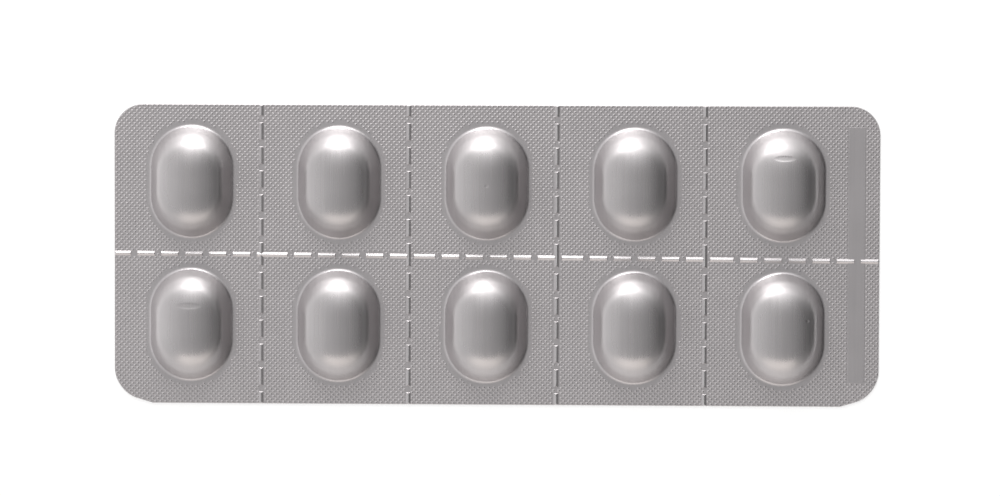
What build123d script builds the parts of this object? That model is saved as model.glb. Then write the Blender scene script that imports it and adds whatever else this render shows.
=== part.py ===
from build123d import *

import os
from math import atan, ceil, degrees, radians, tan

os.makedirs("parts", exist_ok=True)

# A cold-formed foil strip of ten tablets, lying on its lid foil with the pockets up.
# Millimetres. X runs along the two rows, Z points up, and the origin is under the middle.

# Grid of formed pockets, and the margins from their centres to the cut edges
columns = 5
rows = 2
column_pitch = 24.65
row_pitch = 23.85
left_margin = 12.9
right_margin = 16.0
edge_margin = 13.07
# The formed grid stands turned by this much, clockwise from above, against the cut edges
forming_turn = 0.17

# Web: the two foils sealed together between the pockets
web_thickness = 0.26
edge_break = 0.1

# Cut corners: the upper two are plain rounds, the lower two end in a straight lead
upper_corner_radius = 4.9
lower_corner_radius = 5.3
lower_corner_run = 6.4
lower_corner_lead = 16.5

# Pocket: an oblong dome with a steep wall, a bevel at each end and a crowned top.
# Each level is a slot: its width, and the straight between its round ends.
pocket_width = 14.1
pocket_straight = 5.0
foot_run = 0.35
foot_rise = 0.2
wall_height = 2.85
bevel_height = 1.2
bevel_straight = 4.1
shoulder_width = 10.84
shoulder_straight = 2.5
crown_rise = 1.45

# Smooth raised band beside the last column, where the sealing knurl is left out
band_width = 2.8
band_length = 42.6
band_edge_gap = 2.4
band_shift = 0.2
band_rise = 0.05

# Tear lines: cut dashes, each pushed up into a small hipped ridge with a slit in its crest
tear_turn = 0.25
tear_shift = -0.4
cross_line_drop = 0.2
dash_length = 2.67
dash_pitch = 4.0
cross_blade_lead = 1.5
first_blade_lead = -0.2
down_blade_spread = 1.1
ridge_width = 0.74
ridge_height = 0.24
crest_width = 0.12
slit_width = 0.05
slit_inset = 0.35

# Sizes worked out from the ones above
pack_length = left_margin + (columns - 1) * column_pitch + right_margin
pack_width = 2 * edge_margin + (rows - 1) * row_pitch
half_length = pack_length / 2
half_width = pack_width / 2
grid_x = (left_margin - right_margin) / 2
lead_rise = lower_corner_run * tan(radians(lower_corner_lead))
wall_foot_width = pocket_width - 2 * foot_run
wall_foot_z = web_thickness + foot_rise
shoulder_z = wall_foot_z + wall_height
bevel_share = bevel_height / wall_height
bevel_width = shoulder_width + (wall_foot_width - shoulder_width) * bevel_share
bevel_z = shoulder_z - bevel_height
crown_z = shoulder_z + crown_rise
crown_share = crown_rise / bevel_height
blank_width = shoulder_width - (bevel_width - shoulder_width) * crown_share
blank_straight = shoulder_straight - (bevel_straight - shoulder_straight) * crown_share
crown_radius = ((shoulder_width / 2) ** 2 + crown_rise**2) / (2 * crown_rise)
barrel_z = crown_z - crown_radius
down_blade_pitch = row_pitch + down_blade_spread
cross_blade_dashes = ceil(column_pitch / dash_pitch)
down_blade_dashes = ceil(down_blade_pitch / dash_pitch)
ridge_taper = degrees(atan((ridge_width - crest_width) / 2 / ridge_height))
ridge_top = web_thickness + ridge_height


# Outline of the die cut
with BuildSketch() as outline:
    with BuildLine():
        Polyline(
            (-half_length + lower_corner_run, -half_width),
            (half_length - lower_corner_run, -half_width),
            (half_length, -half_width + lead_rise),
            (half_length, half_width),
            (-half_length, half_width),
            (-half_length, -half_width + lead_rise),
            close=True,
        )
    make_face()
    fillet(outline.vertices().group_by(Axis.Y)[-1], upper_corner_radius)
    fillet(outline.vertices().group_by(Axis.Y)[1], lower_corner_radius)


# One pocket: wall and end bevels run up past the shoulder, then a barrel lying along it cuts the top
with BuildPart() as pocket:
    with BuildSketch():
        SlotCenterToCenter(pocket_straight, pocket_width, rotation=90)
    extrude(amount=web_thickness)
    with BuildSketch(Plane.XY.offset(web_thickness)):
        SlotCenterToCenter(pocket_straight, pocket_width, rotation=90)
    extrude(amount=foot_rise, taper=degrees(atan(foot_run / foot_rise)))
    with BuildSketch(Plane.XY.offset(wall_foot_z)):
        SlotCenterToCenter(pocket_straight, wall_foot_width, rotation=90)
    with BuildSketch(Plane.XY.offset(bevel_z)):
        SlotCenterToCenter(bevel_straight, bevel_width, rotation=90)
    loft(ruled=True)
    with BuildSketch(Plane.XY.offset(bevel_z)):
        SlotCenterToCenter(bevel_straight, bevel_width, rotation=90)
    with BuildSketch(Plane.XY.offset(crown_z)):
        SlotCenterToCenter(blank_straight, blank_width, rotation=90)
    loft(ruled=True)
    with BuildSketch(Plane.XY.offset(barrel_z)):
        SlotCenterToCenter(shoulder_straight, 2 * crown_radius, rotation=90)
        split(bisect_by=Plane.YZ)
    revolve(axis=Axis((0, 0, barrel_z), (0, 1, 0)), mode=Mode.INTERSECT)


def tear_plane(height):
    return Plane(origin=(grid_x + tear_shift, 0, height)).rotated((0, 0, -tear_turn))


def cross_dashes(length, width):
    # The line between the rows: one blade a cell, each starting just past its tear line
    starts = [first_blade_lead - columns / 2 * column_pitch]
    for cell in range(1, columns):
        starts.append(cross_blade_lead + (cell - columns / 2) * column_pitch)
    blade_reach = (cross_blade_dashes - 1) * dash_pitch + dash_length
    for start in starts:
        with Locations((start + blade_reach / 2, -cross_line_drop)):
            with GridLocations(dash_pitch, 0, cross_blade_dashes, 1):
                Rectangle(length, width)


def down_dashes(length, width):
    # The lines between the columns: one blade a row, the two overlapping at the cross line
    with GridLocations(column_pitch, down_blade_pitch, columns - 1, rows):
        with GridLocations(0, dash_pitch, 1, down_blade_dashes):
            Rectangle(width, length)


# Ridges that the tear blades push up, cut off at the outline
with BuildPart() as ridges:
    with BuildSketch(tear_plane(web_thickness)):
        cross_dashes(dash_length, ridge_width)
    extrude(amount=ridge_height, taper=ridge_taper)
    with BuildSketch(tear_plane(web_thickness)):
        down_dashes(dash_length, ridge_width)
    extrude(amount=ridge_height, taper=ridge_taper)
    extrude(outline.sketch, amount=ridge_top, mode=Mode.INTERSECT)


# The whole pack, sealed and filled
with BuildPart() as blister_pack:
    extrude(outline.sketch, amount=web_thickness)
    chamfer(blister_pack.faces().sort_by(Axis.Z)[-1].edges(), edge_break)
    with BuildSketch(Plane.XY.offset(web_thickness)):
        with Locations((half_length - band_edge_gap - band_width / 2, band_shift)):
            Rectangle(band_width, band_length)
    extrude(amount=band_rise)
    with Locations(Location((grid_x, 0, 0), (0, 0, -forming_turn))):
        with GridLocations(column_pitch, row_pitch, columns, rows):
            add(pocket.part)
    add(ridges.part)
    with BuildSketch(tear_plane(0)):
        cross_dashes(dash_length - 2 * slit_inset, slit_width)
    extrude(amount=ridge_top, mode=Mode.SUBTRACT)
    with BuildSketch(tear_plane(0)):
        down_dashes(dash_length - 2 * slit_inset, slit_width)
    extrude(amount=ridge_top, mode=Mode.SUBTRACT)

blister_pack.part.label = "blister_pack"
export_step(blister_pack.part, "parts/blister_pack.step")
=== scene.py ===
import math

import bmesh
import bpy
from mathutils import Matrix, Vector


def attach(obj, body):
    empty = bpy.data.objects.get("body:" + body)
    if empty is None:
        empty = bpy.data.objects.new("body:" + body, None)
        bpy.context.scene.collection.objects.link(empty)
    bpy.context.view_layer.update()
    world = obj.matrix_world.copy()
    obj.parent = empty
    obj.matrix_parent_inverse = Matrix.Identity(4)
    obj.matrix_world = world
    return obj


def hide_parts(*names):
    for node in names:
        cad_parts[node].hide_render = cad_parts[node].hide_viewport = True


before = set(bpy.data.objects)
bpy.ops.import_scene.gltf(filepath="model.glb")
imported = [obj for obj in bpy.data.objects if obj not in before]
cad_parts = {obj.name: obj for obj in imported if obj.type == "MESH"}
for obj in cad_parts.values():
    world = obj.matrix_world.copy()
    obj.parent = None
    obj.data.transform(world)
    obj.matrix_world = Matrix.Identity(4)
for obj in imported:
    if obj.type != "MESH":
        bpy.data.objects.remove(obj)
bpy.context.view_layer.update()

# The pack is drawn in millimetres and brought to metres when a piece is finished.
MM = 0.001

# Sizes shared with the CAD source: the pack, its pockets and its smooth band
columns = 5
rows = 2
column_pitch = 24.65
row_pitch = 23.85
left_margin = 12.9
right_margin = 16.0
edge_margin = 13.07
forming_turn = math.radians(-0.17)
web_top = 0.26
edge_break = 0.1
upper_corner_radius = 4.9
lower_corner_radius = 5.3
lower_corner_run = 6.4
lower_corner_lead = math.radians(16.5)
pocket_width = 14.1
pocket_straight = 5.0
bevel_z = 2.11
bevel_straight = 4.1
shoulder_z = 3.31
shoulder_width = 10.84
shoulder_straight = 2.5
crown_rise = 1.45
band_width = 2.8
band_length = 42.6
band_edge_gap = 2.4
band_shift = 0.2
band_rise = 0.05

# Tear lines as the photograph shows them: how the cross line and the down lines turn and shift
cross_turn = math.radians(-0.39)
down_turn = math.radians(-0.03)
tear_shift = -0.4
down_shift = -0.25
cross_line_drop = 0.33

# Dashes, where each blade that cuts them starts, and the ridge and the slit that a dash leaves
dash_length = 2.95
dash_pitch = 4.0
cross_blade_lead = 1.25
first_blade_lead = -0.35
last_blade_lead = 1.6
down_blade_spread = 1.1
ridge_width = 0.84
ridge_height = 0.195
ridge_end_lean = 0.08
down_ridge_height = 0.155
down_end_lean = 0.15
crest_width = 0.12
slit_width = 0.05
slit_inset = 0.35

# Pocket form as rings from the smooth margin up to the crown.
# The crown is sunk a little, so that it lies within the height of the CAD solid.
pocket_segments = 72
margin_run = 0.6
margin_sink = 0.004
wall_foot_width = 13.58
bevel_width = 11.92
crown_rings = 7
crown_sink = 0.014

# Rounds of the pocket: how far each reaches, and the number of its facets
foot_round = 0.39
foot_facets = 6
bevel_round = 0.5
bevel_facets = 5
shoulder_round = 0.6
shoulder_facets = 6

# Foils: the lid foil lies under the formed foil, and the knurl is pressed into both.
# Pockets and band are rooted at root_z inside the formed foil, and ridges end just over the lid foil.
lid_foil = 0.06
root_z = 0.12
ridge_root = 0.02
knurl_cell = 0.4295
knurl_height = 0.072
lid_knurl_height = 0.03
pad_gap = 0.005

# How far the knurl keeps clear of the band and of the ridges
band_clearance = 0.1
ridge_clearance = 0.05

# Rounds of the outline's corners and of the band's edges
corner_facets = 20
band_round = 0.045
band_facets = 2

# How far up and down from the ground the cutting tools reach
trim_reach = 0.5
slit_reach = 1.0

# Edges that turn by more than this stay sharp
formed_crease = math.radians(14)
lid_crease = math.radians(6)

# Sizes worked out from the ones above
half_length = (left_margin + (columns - 1) * column_pitch + right_margin) / 2
half_width = (2 * edge_margin + (rows - 1) * row_pitch) / 2
grid_x = (left_margin - right_margin) / 2
crown_radius = ((shoulder_width / 2) ** 2 + crown_rise**2) / (2 * crown_rise)
crown_top = shoulder_z + crown_rise - crown_sink
barrel_z = crown_top - crown_radius

# Roughness of the foil by its height, as a share of curve_height: web, ridges, walls, domes
curve_height = 5.0
roughness_by_height = (
    (0.0, 0.45),
    (0.066, 0.45),
    (0.08, 0.34),
    (0.092, 0.34),
    (0.12, 0.46),
    (0.67, 0.44),
    (0.8, 0.28),
    (1.0, 0.28),
)

# Dents in four of the domes: where each lies, and how far it reaches along and across the rows
dents = (
    (-50.9, -8.5, 2.4, 0.6),
    (47.8, 16.3, 2.0, 0.55),
    (51.7, -10.5, 0.35, 0.3),
    (-1.4, 11.6, 0.4, 0.3),
)
dent_depth = 0.04

# Rolling lines and clouds in the foil: how deep the lines are, and how closely both stand per metre
line_depth = 0.002
line_scale = (2600, 45, 300)
line_detail = 2.0
cloud_scale = (160, 160, 160)
cloud_detail = 3.0

# How far the colour and the roughness stray as the lines or the clouds go through a span of values
colour_span = (0.3, 0.7)
line_stray = 0.015
cloud_stray = 0.02
roughness_span = (0.2, 0.8)
roughness_stray = 0.02

# Colours of the foils. The web's turns into the domes' between two heights.
web_colour = (0.615, 0.588, 0.597)
dome_colour = (0.62, 0.594, 0.6)
lid_colour = (0.66, 0.65, 0.645)
web_colour_top = 0.4
dome_colour_foot = 1.2

# Floor of pale paper
floor_reach = 3000
paper_colour = (0.8, 0.8, 0.8)
paper_lift = 0.5

# Tones of the studio by direction, as places from 0 to 1 with their tones: the room from left to
# right, the light at the back from front to back, and how that light spreads from left to right
room_tones = (
    (0.0, 1.0),
    (0.05, 0.92),
    (0.1, 0.8),
    (0.16, 0.7),
    (0.24, 0.65),
    (0.32, 0.56),
    (0.5, 0.46),
    (0.68, 0.345),
    (0.77, 0.265),
    (0.85, 0.14),
    (0.92, 0.08),
    (1.0, 0.0),
)
back_light_tones = (
    (0.0, 0.0),
    (0.5, 0.0),
    (0.6, 0.02),
    (0.67, 0.08),
    (0.74, 0.22),
    (0.79, 0.36),
    (0.82, 0.52),
    (0.86, 0.85),
    (0.92, 1.3),
    (0.96, 0.95),
    (1.0, 0.6),
)
back_light_spread = (
    (0.0, 0.0),
    (0.15, 0.12),
    (0.3, 0.45),
    (0.4, 0.85),
    (0.5, 1.0),
    (0.6, 0.85),
    (0.7, 0.4),
    (0.85, 0.06),
    (1.0, 0.0),
)


def new_piece(name, bm):
    """Links a bmesh as an object of its own, still in millimetres."""
    mesh = bpy.data.meshes.new(name)
    bm.to_mesh(mesh)
    bm.free()
    piece = bpy.data.objects.new(name, mesh)
    bpy.context.scene.collection.objects.link(piece)
    return piece


def cut_with(piece, tool, operation):
    """Joins, cuts or trims a piece with a tool, which is used up."""
    step = piece.modifiers.new(operation, "BOOLEAN")
    step.object = tool
    step.operation = operation
    step.solver = "MANIFOLD"
    shown = piece.evaluated_get(bpy.context.evaluated_depsgraph_get())
    mesh = bpy.data.meshes.new_from_object(shown)
    piece.modifiers.clear()
    piece.data = mesh
    bpy.data.objects.remove(tool)


def outline_block(low, high, land=0.0):
    """A block of the die-cut outline, whose side leans in at 45 degrees over the height of land."""
    lead_rise = lower_corner_run * math.tan(lower_corner_lead)
    half_outline = (
        (half_length - lower_corner_run, -half_width),
        (half_length, -half_width + lead_rise),
        (half_length, half_width),
    )
    corners = half_outline + tuple((-x, y) for x, y in reversed(half_outline))
    bm = bmesh.new()
    face = bm.faces.new([bm.verts.new((x, y, low)) for x, y in corners])
    raised = bmesh.ops.extrude_face_region(bm, geom=[face])["geom"]
    verts = [v for v in raised if isinstance(v, bmesh.types.BMVert)]
    bmesh.ops.translate(bm, verts=verts, vec=(0, 0, high - land - low))
    lower_tangent = lower_corner_radius * math.tan(math.pi / 4 - lower_corner_lead / 2)
    upright = [e for e in bm.edges if e.verts[0].co.xy == e.verts[1].co.xy]
    upright = [e for e in upright if abs(e.verts[0].co.x) == half_length]
    for edges, tangent in (
        ([e for e in upright if e.verts[0].co.y > 0], upper_corner_radius),
        ([e for e in upright if e.verts[0].co.y < 0], lower_tangent),
    ):
        bmesh.ops.bevel(
            bm,
            geom=edges,
            offset=tangent,
            segments=corner_facets,
            profile=0.5,
            affect="EDGES",
            material=-1,
        )
    if land:
        cap = [f for f in bm.faces if min(v.co.z for v in f.verts) > low]
        bmesh.ops.inset_region(bm, faces=cap, thickness=land, depth=land, use_even_offset=True)
    bmesh.ops.recalc_face_normals(bm, faces=bm.faces)
    return new_piece("outline_block", bm)


def smooth_places():
    """Where the knurl is left out: round each pocket, under the band and along each dash.

    Each place is a matrix to its own axes, the half lengths of a block there, and the reach round it.
    """
    places = []
    for place in pocket_places():
        reach = pocket_width / 2 + margin_run
        places.append((place.inverted(), 0.0, pocket_straight / 2, reach))
    band = Matrix.Translation((half_length - band_edge_gap - band_width / 2, band_shift, 0))
    places.append((band.inverted(), band_width / 2, band_length / 2, band_clearance))
    for turned, dashes in dash_sets():
        tear = tear_matrix(turned)
        for dash in dashes:
            place = tear @ Matrix.Translation(dash)
            half_x, half_y = (0.0, dash_length / 2) if turned else (dash_length / 2, 0.0)
            places.append((place.inverted(), half_x, half_y, ridge_width / 2 + ridge_clearance))
    return places


def is_smooth(point, places):
    """Whether a point lies in one of the smooth places."""
    for to_place, half_x, half_y, reach in places:
        local = to_place @ point
        away_x = max(abs(local.x) - half_x, 0)
        away_y = max(abs(local.y) - half_y, 0)
        if away_x < reach and away_y < reach and math.hypot(away_x, away_y) < reach:
            return True
    return False


def knurled_sheet(name, flat_z, knurl_z, height):
    """A sheet with a small square pip on every other cell at knurl_z, and a flat face at flat_z."""
    places = smooth_places()
    away = 1 if knurl_z > flat_z else -1
    bm = bmesh.new()
    wide = math.ceil(half_length / knurl_cell) + 1
    tall = math.ceil(half_width / knurl_cell) + 1
    bmesh.ops.create_grid(
        bm,
        x_segments=2 * wide,
        y_segments=2 * tall,
        size=knurl_cell,
        matrix=Matrix.Translation((0, 0, knurl_z)) @ Matrix.Diagonal((wide, tall, 1, 1)),
    )
    rim = [e for e in bm.edges if e.is_boundary]
    pips = []
    for face in bm.faces:
        centre = face.calc_center_median()
        column = math.floor(centre.x / knurl_cell)
        row = math.floor(centre.y / knurl_cell)
        if (column + row) % 2 and not is_smooth(centre, places):
            pips.append(face)
    poked = bmesh.ops.poke(bm, faces=pips, offset=0, center_mode="MEAN")
    bmesh.ops.translate(bm, verts=poked["verts"], vec=(0, 0, away * height))
    skirt = bmesh.ops.extrude_edge_only(bm, edges=rim)["geom"]
    verts = [v for v in skirt if isinstance(v, bmesh.types.BMVert)]
    edges = [e for e in skirt if isinstance(e, bmesh.types.BMEdge) and e.is_boundary]
    bmesh.ops.translate(bm, verts=verts, vec=(0, 0, flat_z - knurl_z))
    bmesh.ops.edgeloop_fill(bm, edges=edges)
    bmesh.ops.recalc_face_normals(bm, faces=bm.faces)
    return new_piece(name, bm)


def slot_start(bm, width, straight, z):
    """Draws a first ring round a slot that lies along Y, and gives its edges."""
    turn = Matrix.Rotation(math.pi / pocket_segments, 4, "Z")
    made = bmesh.ops.create_circle(
        bm, segments=pocket_segments, radius=width / 2, matrix=Matrix.Translation((0, 0, z)) @ turn
    )
    for v in made["verts"]:
        v.co.y += math.copysign(straight / 2, v.co.y)
    return list({e for v in made["verts"] for e in v.link_edges})


def slot_step(bm, ring, last, level):
    """Extrudes a ring from the last level to the next: each is a width, a straight and a height."""
    made = bmesh.ops.extrude_edge_only(bm, edges=ring)["geom"]
    for v in made:
        if isinstance(v, bmesh.types.BMVert):
            v.co.x *= level[0] / last[0]
            end_y = v.co.y - math.copysign(last[1] / 2, v.co.y)
            v.co.y = end_y * level[0] / last[0] + math.copysign(level[1] / 2, v.co.y)
            v.co.z = level[2]
    return [e for e in made if isinstance(e, bmesh.types.BMEdge) and e.is_boundary]


def pocket_places():
    """A matrix for each pocket, row by row."""
    turn = Matrix.Rotation(forming_turn, 4, "Z")
    grid = Matrix.Translation((grid_x, 0, 0)) @ turn
    places = []
    for row in range(rows):
        for column in range(columns):
            x = (column - (columns - 1) / 2) * column_pitch
            y = (row - (rows - 1) / 2) * row_pitch
            places.append(grid @ Matrix.Translation((x, y, 0)))
    return places


def set_out(bm, places):
    """Turns the one shape drawn at the origin into a copy at each place."""
    one = bm.verts[:] + bm.edges[:] + bm.faces[:]
    for place in places[1:]:
        copy = bmesh.ops.duplicate(bm, geom=one)["geom"]
        verts = [v for v in copy if isinstance(v, bmesh.types.BMVert)]
        bmesh.ops.transform(bm, verts=verts, matrix=place)
    first = [v for v in one if isinstance(v, bmesh.types.BMVert)]
    bmesh.ops.transform(bm, verts=first, matrix=places[0])


def pocket_block():
    """All ten pockets, filled, each with its smooth margin."""
    margin_width = pocket_width + 2 * margin_run
    margin_z = web_top - margin_sink
    levels = [
        (margin_width, pocket_straight, root_z),
        (margin_width, pocket_straight, margin_z),
        (wall_foot_width, pocket_straight, margin_z),
        (bevel_width, bevel_straight, bevel_z),
        (shoulder_width, shoulder_straight, shoulder_z),
    ]
    slope = math.asin(shoulder_width / 2 / crown_radius)
    for step in range(1, crown_rings):
        angle = slope * (1 - step / crown_rings)
        width = 2 * crown_radius * math.sin(angle)
        levels.append((width, shoulder_straight, barrel_z + crown_radius * math.cos(angle)))
    bm = bmesh.new()
    ring = slot_start(bm, *levels[0])
    bmesh.ops.edgeloop_fill(bm, edges=ring)
    rings = [ring]
    for last, level in zip(levels, levels[1:]):
        ring = slot_step(bm, ring, last, level)
        rings.append(ring)
    crest = bmesh.ops.extrude_edge_only(bm, edges=ring)["geom"]
    crest = [v for v in crest if isinstance(v, bmesh.types.BMVert)]
    lower_end = [v for v in crest if v.co.y < 0]
    upper_end = [v for v in crest if v.co.y > 0]
    bmesh.ops.pointmerge(bm, verts=lower_end, merge_co=(0, -shoulder_straight / 2, crown_top))
    bmesh.ops.pointmerge(bm, verts=upper_end, merge_co=(0, shoulder_straight / 2, crown_top))
    foot, bevel_start, shoulder = rings[2:5]
    for edges, reach, facets in (
        (foot, foot_round, foot_facets),
        (bevel_start, bevel_round, bevel_facets),
        (shoulder, shoulder_round, shoulder_facets),
    ):
        bmesh.ops.bevel(
            bm,
            geom=edges,
            offset=reach,
            segments=facets,
            profile=0.5,
            affect="EDGES",
            material=-1,
        )
    bmesh.ops.recalc_face_normals(bm, faces=bm.faces)
    set_out(bm, pocket_places())
    return new_piece("pocket_block", bm)


def tear_matrix(turned):
    """Turns and shifts the tear lines against the pack: those that run down, or the cross line."""
    turn = down_turn if turned else cross_turn
    shift = tear_shift + down_shift if turned else tear_shift
    return Matrix.Translation((grid_x + shift, 0, 0)) @ Matrix.Rotation(turn, 4, "Z")


def dash_sets():
    """Sets of dashes that don't touch within the set: whether they run down, and their middles."""
    cross_count = math.ceil(column_pitch / dash_pitch)
    down_pitch = row_pitch + down_blade_spread
    down_count = math.ceil(down_pitch / dash_pitch)
    starts = [first_blade_lead - columns / 2 * column_pitch]
    starts += [cross_blade_lead + (cell - columns / 2) * column_pitch for cell in range(1, columns)]
    starts[-1] += last_blade_lead - cross_blade_lead
    sets = []
    for every_other in (starts[::2], starts[1::2]):
        middles = []
        for start in every_other:
            for dash in range(cross_count):
                x = start + dash * dash_pitch + dash_length / 2
                middles.append(Vector((x, -cross_line_drop, 0)))
        sets.append((False, middles))
    for row in range(rows):
        middles = []
        for line in range(1, columns):
            for dash in range(down_count):
                y = (row - (rows - 1) / 2) * down_pitch + (dash - (down_count - 1) / 2) * dash_pitch
                middles.append(Vector(((line - columns / 2) * column_pitch, y, 0)))
        sets.append((True, middles))
    return sets


def dash_bars(turned, places, low, high, bottom, top):
    """A bar at each dash, with its length and width at the bottom and at the top."""
    bm = bmesh.new()
    for place in places:
        box = bmesh.ops.create_cube(bm, size=1)["verts"]
        for v in box:
            length, width = top if v.co.z > 0 else bottom
            v.co.x = math.copysign(length / 2, v.co.x)
            v.co.y = math.copysign(width / 2, v.co.y)
            v.co.z = high if v.co.z > 0 else low
        along = Matrix.Rotation(math.pi / 2 if turned else 0, 4, "Z")
        bmesh.ops.transform(bm, verts=box, matrix=Matrix.Translation(place) @ along)
    bmesh.ops.transform(bm, verts=bm.verts, matrix=tear_matrix(turned))
    return new_piece("dash_bars", bm)


def ridges(turned, places):
    """Ridges that the tear blades push up, their flanks carried down into the sheet."""
    rise = down_ridge_height if turned else ridge_height
    lean = down_end_lean if turned else ridge_end_lean
    sink = web_top - lid_foil - ridge_root
    grow = sink / rise
    bottom = (dash_length + 2 * lean * grow, ridge_width + (ridge_width - crest_width) * grow)
    top = (dash_length - 2 * lean, crest_width)
    return dash_bars(turned, places, web_top - sink, web_top + rise, bottom, top)


def slits(turned, places):
    """Bars that cut a slit through both foils under the crest of each ridge."""
    slit = (dash_length - 2 * slit_inset, slit_width)
    return dash_bars(turned, places, -slit_reach, slit_reach, slit, slit)


def smooth_band():
    """The raised strip at the right-hand end, which the sealing knurl leaves out."""
    bm = bmesh.new()
    box = bmesh.ops.create_cube(bm, size=1)["verts"]
    top = web_top + band_rise
    for v in box:
        v.co.x = math.copysign(band_width / 2, v.co.x) + half_length - band_edge_gap - band_width / 2
        v.co.y = math.copysign(band_length / 2, v.co.y) + band_shift
        v.co.z = top if v.co.z > 0 else root_z
    rim = [e for e in bm.edges if min(v.co.z for v in e.verts) > web_top]
    bmesh.ops.bevel(
        bm,
        geom=rim,
        offset=band_round,
        segments=band_facets,
        profile=0.5,
        affect="EDGES",
        material=-1,
    )
    return new_piece("smooth_band", bm)


def lid_pads():
    """Flat slots under the pockets, where nothing presses on the lid foil."""
    width = pocket_width + 2 * margin_run
    bm = bmesh.new()
    lower = slot_start(bm, width, pocket_straight, pad_gap)
    bmesh.ops.edgeloop_fill(bm, edges=lower)
    last = (width, pocket_straight, pad_gap)
    upper = slot_step(bm, lower, last, (width, pocket_straight, lid_foil))
    bmesh.ops.edgeloop_fill(bm, edges=upper)
    bmesh.ops.recalc_face_normals(bm, faces=bm.faces)
    set_out(bm, pocket_places())
    return new_piece("lid_pads", bm)


def formed_foil():
    """The foil with the pockets, its tear ridges and its smooth band."""
    piece = knurled_sheet("formed_foil", lid_foil, web_top, knurl_height)
    for turned, places in dash_sets():
        cut_with(piece, ridges(turned, places), "UNION")
    headroom = 2 * ridge_height
    cut_with(piece, outline_block(0.0, web_top + headroom, headroom + edge_break), "INTERSECT")
    cut_with(piece, smooth_band(), "UNION")
    cut_with(piece, pocket_block(), "UNION")
    for turned, places in dash_sets():
        cut_with(piece, slits(turned, places), "DIFFERENCE")
    return piece


def sealed_lid():
    """The flat foil underneath."""
    piece = knurled_sheet("lid_foil", lid_foil, lid_knurl_height, lid_knurl_height)
    cut_with(piece, outline_block(-trim_reach, trim_reach), "INTERSECT")
    cut_with(piece, lid_pads(), "UNION")
    for turned, places in dash_sets():
        cut_with(piece, slits(turned, places), "DIFFERENCE")
    return piece


def finish_piece(piece, material, crease):
    """Brings a piece to metres, smooths it up to the crease angle and hangs it on the frame."""
    mesh = piece.data
    mesh.transform(Matrix.Scale(MM, 4))
    mesh.shade_smooth()
    mesh.set_sharp_from_angle(angle=crease)
    mesh.materials.clear()
    mesh.materials.append(material)
    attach(piece, "root")
    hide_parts("blister_pack")


def math_node(tree, operation, first, second):
    """One sum, whose terms are numbers or the outputs of other nodes."""
    node = tree.nodes.new("ShaderNodeMath")
    node.operation = operation
    for socket, value in zip(node.inputs, (first, second)):
        if isinstance(value, bpy.types.NodeSocket):
            tree.links.new(value, socket)
        else:
            socket.default_value = value
    return node.outputs[0]


def ramp_node(tree, value, start, end, low, high):
    """Goes smoothly from low to high as the value goes from start to end, and is level outside."""
    node = tree.nodes.new("ShaderNodeMapRange")
    node.interpolation_type = "SMOOTHSTEP"
    tree.links.new(value, node.inputs["Value"])
    for socket, number in zip(("From Min", "From Max", "To Min", "To Max"), (start, end, low, high)):
        node.inputs[socket].default_value = number
    return node.outputs["Result"]


def curve_node(tree, value, curve_points):
    """A curve through the points, the first of which stands at zero and the last at one."""
    node = tree.nodes.new("ShaderNodeFloatCurve")
    points = node.mapping.curves[0].points
    points[0].location = curve_points[0]
    points[1].location = curve_points[-1]
    for point in curve_points[1:-1]:
        points.new(*point)
    node.mapping.use_clip = False
    node.mapping.update()
    tree.links.new(value, node.inputs["Value"])
    return node.outputs["Value"]


def stretched_noise(tree, scale, detail):
    """Noise with a scale of its own along each axis of the pack."""
    place = tree.nodes.new("ShaderNodeTexCoord")
    stretch = tree.nodes.new("ShaderNodeMapping")
    stretch.inputs["Scale"].default_value = scale
    noise = tree.nodes.new("ShaderNodeTexNoise")
    noise.inputs["Scale"].default_value = 1.0
    noise.inputs["Detail"].default_value = detail
    tree.links.new(place.outputs["Object"], stretch.inputs["Vector"])
    tree.links.new(stretch.outputs["Vector"], noise.inputs["Vector"])
    return noise.outputs["Fac"]


def rolled_foil_group():
    """Lets a colour stray with rolling lines and broad clouds, and a roughness with the lines."""
    tree = bpy.data.node_groups.new("rolled_foil", "ShaderNodeTree")
    for name, kind in (("Colour", "NodeSocketColor"), ("Roughness", "NodeSocketFloat")):
        tree.interface.new_socket(name, in_out="INPUT", socket_type=kind)
        tree.interface.new_socket(name, in_out="OUTPUT", socket_type=kind)
    tree.interface.new_socket("Lines", in_out="OUTPUT", socket_type="NodeSocketFloat")
    given = tree.nodes.new("NodeGroupInput")
    result = tree.nodes.new("NodeGroupOutput")
    lines = stretched_noise(tree, line_scale, line_detail)
    clouds = stretched_noise(tree, cloud_scale, cloud_detail)
    cloud_tint = ramp_node(tree, clouds, *colour_span, 1 - cloud_stray, 1 + cloud_stray)
    line_tint = ramp_node(tree, lines, *colour_span, 1 - line_stray, 1 + line_stray)
    tint = tree.nodes.new("ShaderNodeVectorMath")
    tint.operation = "SCALE"
    tree.links.new(given.outputs["Colour"], tint.inputs[0])
    tree.links.new(math_node(tree, "MULTIPLY", cloud_tint, line_tint), tint.inputs["Scale"])
    tree.links.new(tint.outputs[0], result.inputs["Colour"])
    stray = ramp_node(tree, lines, *roughness_span, -roughness_stray, roughness_stray)
    roughness = math_node(tree, "ADD", given.outputs["Roughness"], stray)
    tree.links.new(roughness, result.inputs["Roughness"])
    tree.links.new(lines, result.inputs["Lines"])
    return tree


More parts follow.
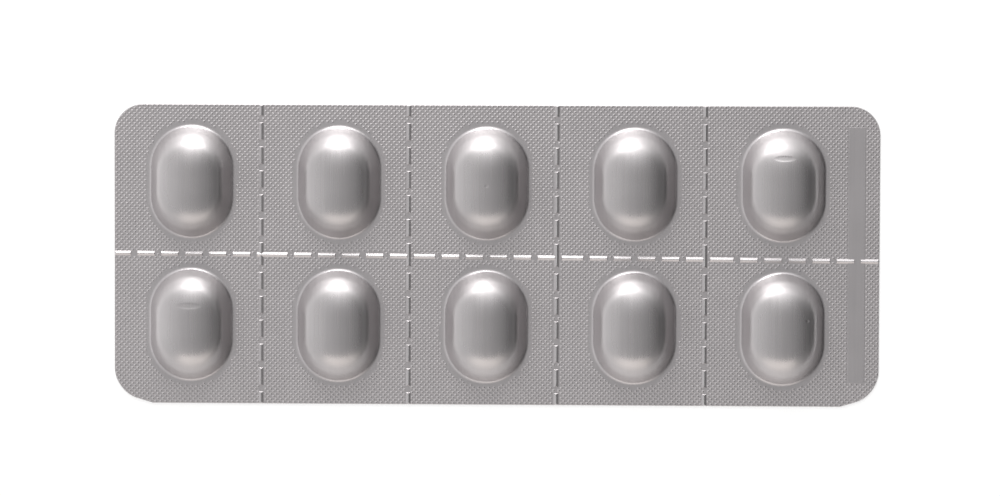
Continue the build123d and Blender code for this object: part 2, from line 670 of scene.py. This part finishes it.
def dents_group():
    """How deep the foil is dented, as a value from none to one, where the mask is one."""
    tree = bpy.data.node_groups.new("dents", "ShaderNodeTree")
    tree.interface.new_socket("Mask", in_out="INPUT", socket_type="NodeSocketFloat")
    tree.interface.new_socket("Depth", in_out="OUTPUT", socket_type="NodeSocketFloat")
    given = tree.nodes.new("NodeGroupInput")
    result = tree.nodes.new("NodeGroupOutput")
    place = tree.nodes.new("ShaderNodeTexCoord")
    axes = tree.nodes.new("ShaderNodeSeparateXYZ")
    tree.links.new(place.outputs["Object"], axes.inputs[0])
    total = 0.0
    for x, y, reach_x, reach_y in dents:
        along = math_node(tree, "SUBTRACT", axes.outputs["X"], x * MM)
        along = math_node(tree, "POWER", math_node(tree, "DIVIDE", along, reach_x * MM), 2.0)
        across = math_node(tree, "SUBTRACT", axes.outputs["Y"], y * MM)
        across = math_node(tree, "POWER", math_node(tree, "DIVIDE", across, reach_y * MM), 2.0)
        away = math_node(tree, "ADD", along, across)
        total = math_node(tree, "ADD", ramp_node(tree, away, 0.0, 1.0, 1.0, 0.0), total)
    depth = math_node(tree, "MULTIPLY", total, given.outputs["Mask"])
    tree.links.new(depth, result.inputs["Depth"])
    return tree


def foil_material(name, low_colour, high_colour, rolled, dented):
    """Foil whose colour and roughness change with height, with the two groups of effects."""
    material = bpy.data.materials.new(name)
    material.use_nodes = True
    tree = material.node_tree
    shader = tree.nodes["Principled BSDF"]
    shader.inputs["Metallic"].default_value = 1.0
    place = tree.nodes.new("ShaderNodeTexCoord")
    axes = tree.nodes.new("ShaderNodeSeparateXYZ")
    tree.links.new(place.outputs["Object"], axes.inputs[0])
    height = axes.outputs["Z"]
    raised = ramp_node(tree, height, web_colour_top * MM, dome_colour_foot * MM, 0.0, 1.0)
    colour = tree.nodes.new("ShaderNodeMix")
    colour.data_type = "RGBA"
    tree.links.new(raised, colour.inputs["Factor"])
    low_end, high_end = [socket for socket in colour.inputs if socket.type == "RGBA"]
    low_end.default_value = (*low_colour, 1)
    high_end.default_value = (*high_colour, 1)
    mixed = next(socket for socket in colour.outputs if socket.type == "RGBA")
    share = math_node(tree, "DIVIDE", height, curve_height * MM)
    texture = tree.nodes.new("ShaderNodeGroup")
    texture.node_tree = rolled
    tree.links.new(mixed, texture.inputs["Colour"])
    tree.links.new(curve_node(tree, share, roughness_by_height), texture.inputs["Roughness"])
    tree.links.new(texture.outputs["Colour"], shader.inputs["Base Color"])
    tree.links.new(texture.outputs["Roughness"], shader.inputs["Roughness"])
    hollows = tree.nodes.new("ShaderNodeGroup")
    hollows.node_tree = dented
    tree.links.new(raised, hollows.inputs["Mask"])
    depth = math_node(tree, "MULTIPLY", hollows.outputs["Depth"], dent_depth / line_depth)
    bump = tree.nodes.new("ShaderNodeBump")
    bump.inputs["Strength"].default_value = 1.0
    bump.inputs["Distance"].default_value = line_depth * MM
    relief = math_node(tree, "SUBTRACT", texture.outputs["Lines"], depth)
    tree.links.new(relief, bump.inputs["Height"])
    tree.links.new(bump.outputs["Normal"], shader.inputs["Normal"])
    return material


rolled_foil = rolled_foil_group()
dents_in_domes = dents_group()
satin_foil = foil_material("satin_foil", web_colour, dome_colour, rolled_foil, dents_in_domes)
bright_foil = foil_material("bright_foil", lid_colour, lid_colour, rolled_foil, dents_in_domes)
finish_piece(formed_foil(), satin_foil, formed_crease)
finish_piece(sealed_lid(), bright_foil, lid_crease)

# Camera, as far above the pack and as little off the upright as in the photograph
camera_place = Vector((19.32, 27.25, 600.0))
camera_aim = Vector((0.694, 1.196, 0.0))
camera_roll = math.radians(0.197)
camera_lens = 129.82
camera = bpy.data.objects.new("camera", bpy.data.cameras.new("camera"))
camera.data.lens = camera_lens
camera.data.sensor_width = 36
camera.data.clip_start = 0.01
camera.data.clip_end = 50
camera.location = camera_place * MM
back = (camera_place - camera_aim).normalized()
right = Vector((0, 1, 0)).cross(back).normalized()
upright = Matrix((right, back.cross(right), back)).transposed()
camera.rotation_mode = "QUATERNION"
camera.rotation_quaternion = (upright @ Matrix.Rotation(camera_roll, 3, "Z")).to_quaternion()
bpy.context.scene.collection.objects.link(camera)
bpy.context.scene.camera = camera

# Floor: pale paper that the camera and the foil both see as white, with the pack's soft shadow on it.
# It is clear from underneath, so that the lid foil can be looked at.
bm = bmesh.new()
bmesh.ops.create_grid(bm, x_segments=1, y_segments=1, size=floor_reach)
floor = new_piece("floor", bm)
floor.data.transform(Matrix.Scale(MM, 4))
paper = bpy.data.materials.new("white_paper")
paper.use_nodes = True
tree = paper.node_tree
nodes = tree.nodes
links = tree.links
shader = nodes["Principled BSDF"]
shader.inputs["Base Color"].default_value = (*paper_colour, 1)
shader.inputs["Roughness"].default_value = 0.9
shader.inputs["Specular IOR Level"].default_value = 0.0
shader.inputs["Emission Color"].default_value = (1, 1, 1, 1)
rays = nodes.new("ShaderNodeLightPath")
seen = math_node(tree, "MAXIMUM", rays.outputs["Is Camera Ray"], rays.outputs["Is Glossy Ray"])
seen = math_node(tree, "MAXIMUM", seen, rays.outputs["Is Transmission Ray"])
glow = math_node(tree, "MULTIPLY", seen, paper_lift)
links.new(glow, shader.inputs["Emission Strength"])
underneath = nodes.new("ShaderNodeNewGeometry")
clear = nodes.new("ShaderNodeBsdfTransparent")
one_way = nodes.new("ShaderNodeMixShader")
links.new(underneath.outputs["Backfacing"], one_way.inputs["Fac"])
links.new(shader.outputs[0], one_way.inputs[1])
links.new(clear.outputs[0], one_way.inputs[2])
links.new(one_way.outputs[0], nodes["Material Output"].inputs["Surface"])
floor.data.materials.append(paper)

# Studio: a soft grey room, paler on the left, darker on the right, with its light behind the pack
world = bpy.data.worlds.new("studio")
world.use_nodes = True
tree = world.node_tree
nodes = tree.nodes
links = tree.links
direction = nodes.new("ShaderNodeTexCoord")
axes = nodes.new("ShaderNodeSeparateXYZ")
links.new(direction.outputs["Generated"], axes.inputs[0])
tones = []
for axis, curve_points in (("X", room_tones), ("Y", back_light_tones), ("X", back_light_spread)):
    place = nodes.new("ShaderNodeMapRange")
    place.inputs["From Min"].default_value = -1.0
    links.new(axes.outputs[axis], place.inputs["Value"])
    tones.append(curve_node(tree, place.outputs["Result"], curve_points))
room, back_light, spread = tones
studio = math_node(tree, "ADD", room, math_node(tree, "MULTIPLY", back_light, spread))
links.new(studio, nodes["Background"].inputs["Color"])
bpy.context.scene.world = world


def softbox(name, azimuth, zenith, distance, wide, tall, level, colour):
    """A flat lamp that faces the pack, as bright as a sheet of the given level."""
    lamp = bpy.data.lights.new(name, "AREA")
    lamp.shape = "RECTANGLE"
    lamp.size = wide
    lamp.size_y = tall
    lamp.energy = level * math.pi * wide * tall
    lamp.color = colour
    piece = bpy.data.objects.new(name, lamp)
    turn = Matrix.Rotation(azimuth, 4, "Z") @ Matrix.Rotation(zenith, 4, "X")
    piece.matrix_world = turn @ Matrix.Translation((0, 0, distance))
    piece.visible_camera = False
    bpy.context.scene.collection.objects.link(piece)


softbox(
    "near_reflector",
    azimuth=0.0,
    zenith=math.radians(62),
    distance=0.6,
    wide=0.6,
    tall=0.3,
    level=0.85,
    colour=(1.0, 0.93, 0.86),
)
softbox(
    "far_softbox",
    azimuth=math.radians(188),
    zenith=math.radians(69),
    distance=0.34,
    wide=0.15,
    tall=0.13,
    level=7.0,
    colour=(1.0, 0.99, 0.98),
)
bpy.context.scene.view_settings.view_transform = "Standard"
